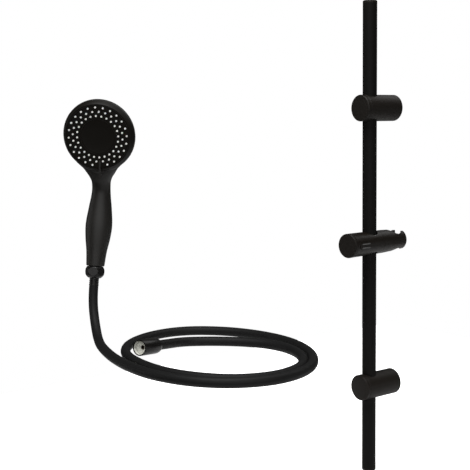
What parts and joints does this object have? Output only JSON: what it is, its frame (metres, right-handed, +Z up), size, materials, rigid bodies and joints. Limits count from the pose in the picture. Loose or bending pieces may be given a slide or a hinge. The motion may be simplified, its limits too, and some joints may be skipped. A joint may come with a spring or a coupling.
{
  "type": "shower rail set",
  "caption": "Round shower rail on wall posts with a sliding, swivelling handset holder, and a selector handset lying beside it on its coiled hose.",
  "frame": {"origin": "on the wall plane, midway between the two screw holes of the wall posts", "axes": "+Z up along the rail, +Y into the wall, +X to the right seen from the room"},
  "size_m": [0.4129, 0.4115, 0.674],
  "materials": {
    "coated_rail": "matt powder coat",
    "black_moulding": "fine matt moulding",
    "handset_moulding": "fine matt moulding",
    "black_nut": "satin black coat",
    "hose_skin": "smooth satin",
    "nozzle_silicone": "soft white silicone",
    "pale_liner": "plain moulding",
    "seal_rubber": "plain rubber",
    "spring_steel": "bright",
    "glide_acetal": "smooth",
    "inner_moulding": "smooth",
    "tail_brass": "machined"
  },
  "bodies": {
    "rail_set": {"rail_tube": "coated_rail", "rail_top_cap": "black_moulding", "rail_bottom_cap": "black_moulding", "upper_post": "black_moulding", "lower_post": "black_moulding", "upper_post_cap": "black_moulding", "lower_post_cap": "black_moulding", "upper_rail_pad": "seal_rubber", "lower_rail_pad": "seal_rubber", "handset_shell": "handset_moulding", "distributor": "inner_moulding", "handset_nut": "black_nut", "inlet_washer": "seal_rubber", "handset_tail": "tail_brass", "handset_ferrule": "black_nut", "hose": "hose_skin", "end_tail": "tail_brass"},
    "glide": {"upper_glide_bush": "glide_acetal", "lower_glide_bush": "glide_acetal"},
    "slider": {"slider_body": "black_moulding", "slider_end_cap": "black_moulding", "brake_spring": "spring_steel", "holder_screw": "spring_steel", "holder_ring": "seal_rubber"},
    "holder": {"holder": "black_moulding"},
    "release_button": {"release_button": "black_moulding"},
    "brake_shoe": {"brake_shoe": "glide_acetal"},
    "spray_selector": {"spray_face": "handset_moulding", "nozzle_mat": "nozzle_silicone", "centre_insert": "handset_moulding", "selector_disc": "inner_moulding", "selector_seal": "seal_rubber", "face_screw": "spring_steel"},
    "end_nut": {"end_nut": "black_nut", "end_liner": "pale_liner", "end_washer": "pale_liner"}
  },
  "joints": [
    {"name": "slider_slide", "type": "slide", "parent": "rail_set", "child": "glide", "axis": [0, 0, 1], "range_m": [-0.172, 0.154]},
    {"name": "slider_swivel", "type": "hinge", "parent": "glide", "child": "slider", "pos_m": [0, -0.047, 0.009], "axis": [0, 0, 1], "continuous": true},
    {"name": "holder_tilt", "type": "hinge", "parent": "slider", "child": "holder", "pos_m": [0, -0.047, 0.009], "axis": [-0.0872, 0.9962, 0], "range_deg": [-60, 60]},
    {"name": "release_button_press", "type": "slide", "parent": "slider", "child": "release_button", "axis": [-0.9962, -0.0872, 0], "range_m": [0, 0.003], "stiffness_N_per_m": 1500},
    {"name": "brake_shoe_release", "type": "slide", "parent": "slider", "child": "brake_shoe", "axis": [0.0872, -0.9962, 0], "range_m": [0, 0.0015]},
    {"name": "spray_selector_turn", "type": "hinge", "parent": "rail_set", "child": "spray_selector", "pos_m": [-0.2837, -0.32683, 0.16409], "axis": [0.7436, -0.6452, -0.1753], "range_deg": [-45, 45]},
    {"name": "end_nut_turn", "type": "hinge", "parent": "rail_set", "child": "end_nut", "pos_m": [-0.1483, -0.31385, -0.1275], "axis": [0.4098, -0.903, 0.1287], "continuous": true}
  ],
  "couplings": [
    {"joint": "brake_shoe_release", "follows": "release_button_press", "ratio": 0.5}
  ]
}
